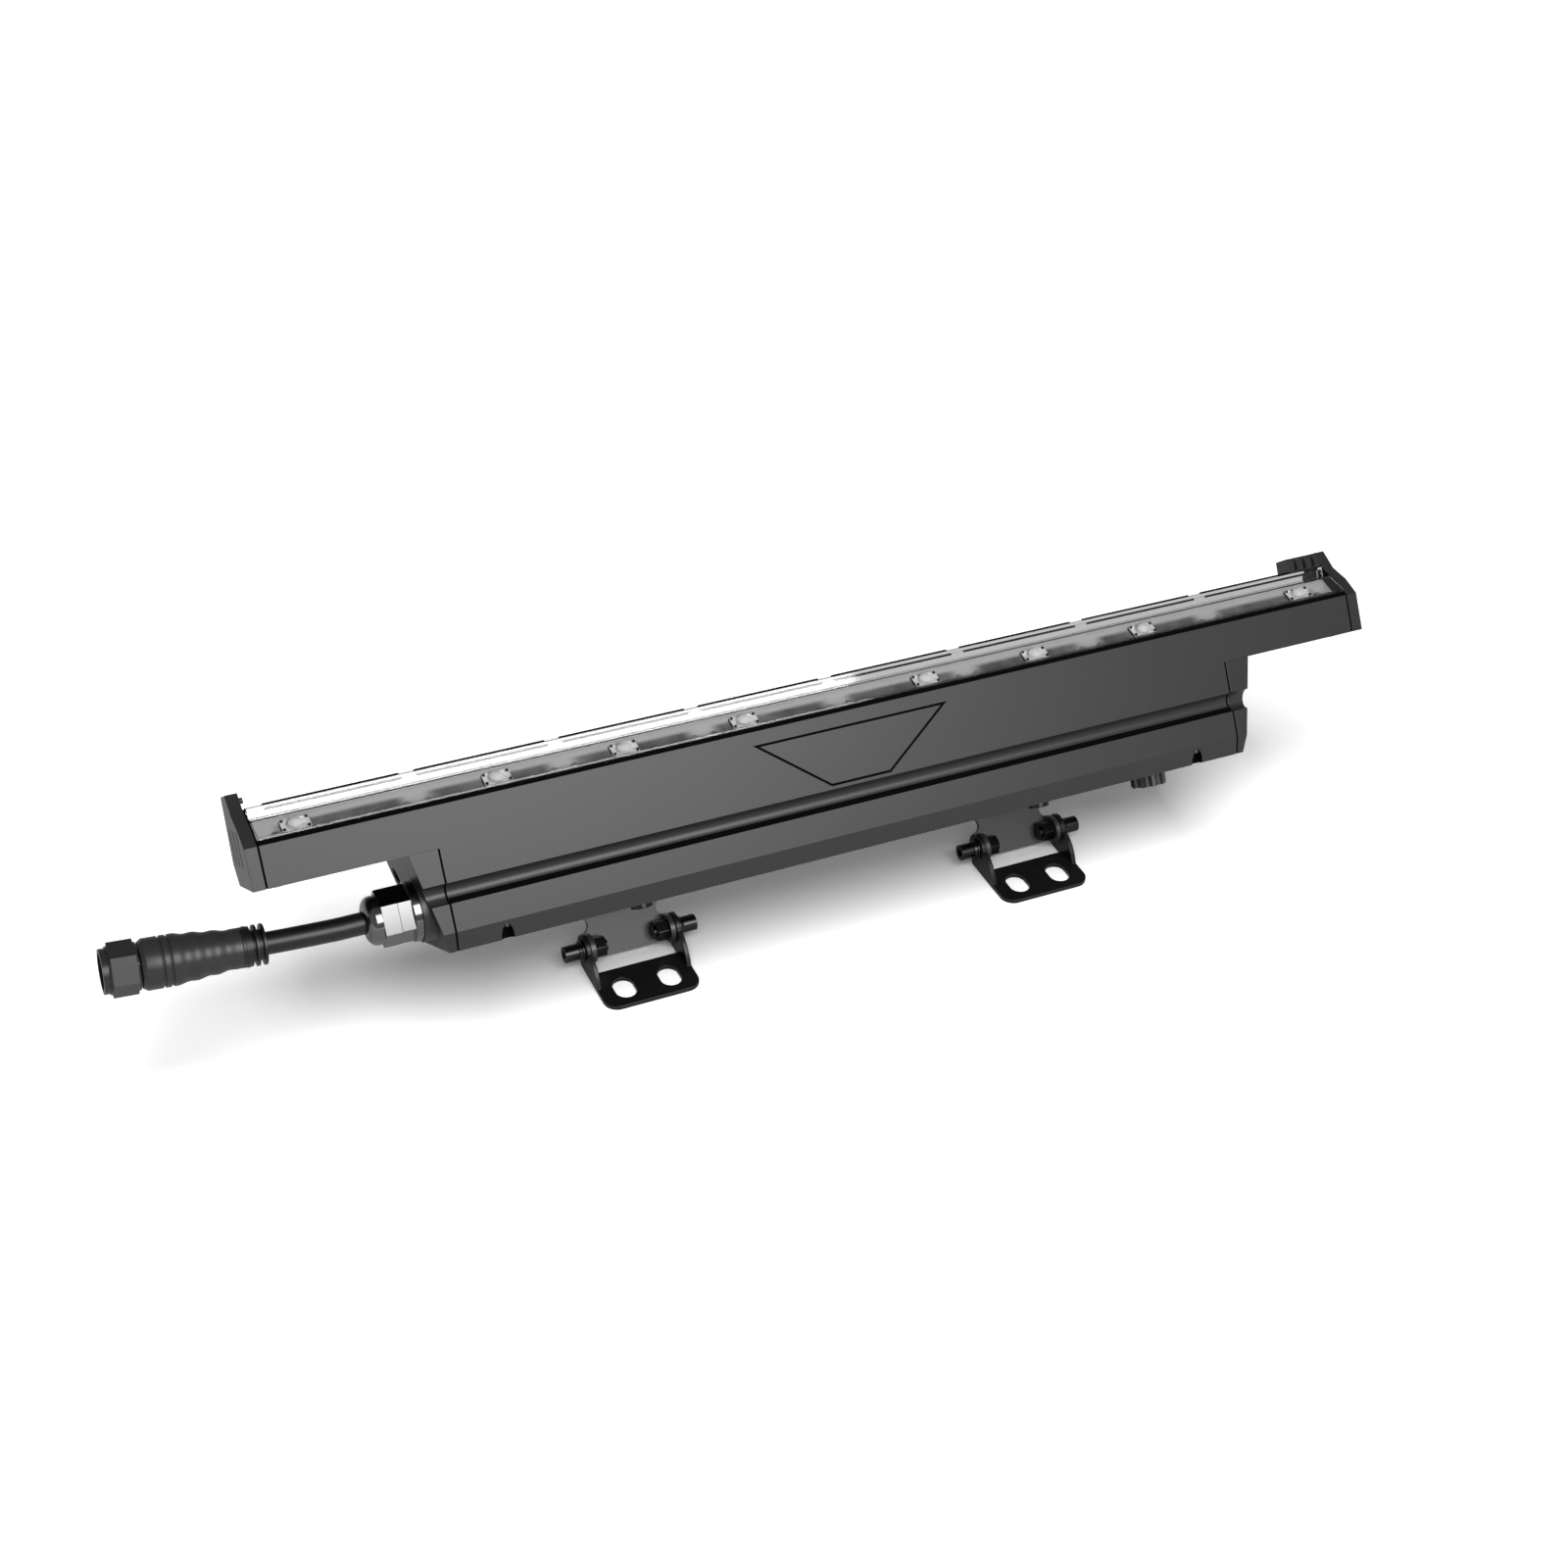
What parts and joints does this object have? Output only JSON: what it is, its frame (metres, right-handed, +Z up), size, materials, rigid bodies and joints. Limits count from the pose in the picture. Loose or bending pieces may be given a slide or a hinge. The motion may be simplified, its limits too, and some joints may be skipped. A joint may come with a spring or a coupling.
{
  "type": "linear light",
  "caption": "Slim linear wall-washer light with a sloping clear window, on hinged floor brackets, with a cable gland and a screw connector.",
  "frame": {"origin": "middle of the left base plate's underside, between its two fixing slots", "axes": "+X along the lamp to its right end, +Y to its rear, +Z up from the surface that the base plates are screwed to"},
  "size_m": [0.5591, 0.0635, 0.1105],
  "materials": {
    "housing": "satin powder coat, mid grey",
    "end_cap": "satin dark grey",
    "black_metal": "satin black powder coat",
    "chrome": "bright",
    "steel": "plain",
    "rubber": "matt",
    "clear": "clear",
    "board": "white",
    "reflector": "light grey",
    "led": "yellow",
    "lens": "clear",
    "grey_plastic": "matt",
    "connector": "satin",
    "brass": "plain"
  },
  "bodies": {
    "base_left": {"base_bracket_left": "black_metal", "hinge_bolts_left": "black_metal", "hinge_nuts_left": "black_metal", "hinge_washers_left": "black_metal"},
    "lamp": {"main_extrusion": "housing", "driver_cover": "housing", "seam_seal": "rubber", "inlay_panel": "housing", "cover_gasket": "rubber", "clear_cover": "clear", "cover_clips": "steel", "reflector": "reflector", "led_boards": "board", "led_packages": "led", "led_lenses": "lens", "board_screws": "steel", "head_end_cap_left": "end_cap", "head_end_cap_right": "end_cap", "head_cap_gaskets": "rubber", "head_cap_screws": "steel", "housing_end_cap_left": "end_cap", "housing_end_cap_right": "end_cap", "housing_cap_gaskets": "rubber", "housing_cap_screws": "steel", "driver_cover_screws": "steel", "driver_unit": "grey_plastic", "terminal_block": "grey_plastic", "led_leads": "grey_plastic", "lead_grommet": "rubber", "vent_plug": "grey_plastic", "vent_seal": "rubber", "gland_locknut": "chrome", "gland_body": "chrome", "gland_seal": "rubber", "gland_nut": "chrome", "cable_inner": "rubber", "cable": "rubber", "connector_boot": "rubber", "connector_body": "connector", "connector_insert": "connector", "connector_pins": "brass", "connector_oring": "rubber", "yoke_left": "black_metal", "yoke_right": "black_metal", "yoke_screws_left": "steel", "yoke_screws_right": "steel"},
    "base_right": {"base_bracket_right": "black_metal", "hinge_bolts_right": "black_metal", "hinge_nuts_right": "black_metal", "hinge_washers_right": "black_metal"},
    "nut": {"coupling_nut": "connector"}
  },
  "joints": [
    {"name": "tilt", "type": "hinge", "parent": "base_left", "child": "lamp", "pos_m": [0, 0.0195, 0.01], "axis": [1, 0, 0], "range_deg": [-58, 55]},
    {"name": "tilt_right", "type": "hinge", "parent": "lamp", "child": "base_right", "pos_m": [0.185, 0.0195, 0.01], "axis": [1, 0, 0], "range_deg": [-55, 58]},
    {"name": "nut_spin", "type": "hinge", "parent": "lamp", "child": "nut", "pos_m": [-0.1525, 0.01112, 0.0617], "axis": [-0.9976, 0.037, 0.0592], "continuous": true}
  ],
  "couplings": [
    {"joint": "tilt_right", "follows": "tilt", "ratio": -1}
  ]
}
